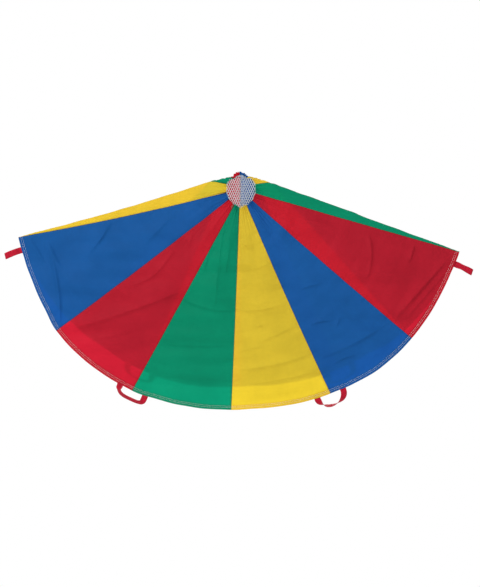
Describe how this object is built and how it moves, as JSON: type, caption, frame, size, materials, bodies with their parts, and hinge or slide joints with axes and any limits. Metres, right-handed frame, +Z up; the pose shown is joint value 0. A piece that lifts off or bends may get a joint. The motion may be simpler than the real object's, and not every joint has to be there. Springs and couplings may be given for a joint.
{
  "type": "play parachute",
  "caption": "Round play parachute of coloured cloth gores with a net vent and webbing handles, hung by its vent and drawn out sideways.",
  "frame": {"origin": "the hanging point: the top of the vent's edge, at the seam between a red and a blue gore", "axes": "+X to the right across the spread canopy, +Y from the front layer to the back layer, +Z up"},
  "size_m": [1.905, 0.2245, 0.9674],
  "materials": {
    "blue_cloth": "thin dull woven nylon",
    "red_cloth": "thin dull woven nylon",
    "green_cloth": "thin dull woven nylon",
    "yellow_cloth": "thin dull woven nylon",
    "white_net": "knitted net",
    "white_thread": "sewing thread",
    "red_webbing": "ribbed webbing"
  },
  "bodies": {
    "canopy": {"gore_01_blue": "blue_cloth", "gore_02_red": "red_cloth", "gore_03_green": "green_cloth", "gore_04_yellow": "yellow_cloth", "gore_05_blue": "blue_cloth", "gore_06_red": "red_cloth", "gore_07_green": "green_cloth", "gore_08_yellow": "yellow_cloth", "gore_09_blue": "blue_cloth", "gore_10_red": "red_cloth", "gore_11_green": "green_cloth", "gore_12_yellow": "yellow_cloth", "vent_net": "white_net", "hem_stitching_lower": "white_thread", "hem_stitching_upper": "white_thread", "front_left_handle_sewn_end_a": "red_webbing", "front_left_handle_sewn_end_b": "red_webbing", "front_right_handle_sewn_end_a": "red_webbing", "front_right_handle_sewn_end_b": "red_webbing", "back_right_handle_sewn_end_a": "red_webbing", "back_right_handle_sewn_end_b": "red_webbing", "back_left_handle_sewn_end_a": "red_webbing", "back_left_handle_sewn_end_b": "red_webbing", "left_side_handle_sewn_end_front": "red_webbing", "left_side_handle_sewn_end_back": "red_webbing", "right_side_handle_sewn_end_front": "red_webbing", "right_side_handle_sewn_end_back": "red_webbing"},
    "front_left_loop": {"front_left_handle": "red_webbing"},
    "front_right_loop": {"front_right_handle": "red_webbing"},
    "back_right_loop": {"back_right_handle": "red_webbing"},
    "back_left_loop": {"back_left_handle": "red_webbing"},
    "left_side_loop": {"left_side_handle": "red_webbing"},
    "right_side_loop": {"right_side_handle": "red_webbing"}
  },
  "joints": [
    {"name": "front_left_swing", "type": "hinge", "parent": "canopy", "child": "front_left_loop", "pos_m": [-0.434, -0.0613, -0.8906], "axis": [0.8959, -0.0033, -0.4442], "range_deg": [-75, 75]},
    {"name": "front_right_swing", "type": "hinge", "parent": "canopy", "child": "front_right_loop", "pos_m": [0.3664, -0.0613, -0.9036], "axis": [0.923, 0.0041, 0.3848], "range_deg": [-75, 75]},
    {"name": "back_right_swing", "type": "hinge", "parent": "canopy", "child": "back_right_loop", "pos_m": [0.4058, 0.0507, -0.8027], "axis": [-0.9248, 0.0067, -0.3804], "range_deg": [-75, 75]},
    {"name": "back_left_swing", "type": "hinge", "parent": "canopy", "child": "back_left_loop", "pos_m": [-0.4025, 0.0509, -0.7984], "axis": [-0.9168, -0.0055, 0.3994], "range_deg": [-75, 75]},
    {"name": "left_side_swing", "type": "hinge", "parent": "canopy", "child": "left_side_loop", "pos_m": [-0.8895, 0, -0.3246], "axis": [0.2357, 0, -0.9718], "range_deg": [-65, 65]},
    {"name": "right_side_swing", "type": "hinge", "parent": "canopy", "child": "right_side_loop", "pos_m": [0.8771, 0, -0.3816], "axis": [0.3271, 0, 0.945], "range_deg": [-65, 65]}
  ]
}
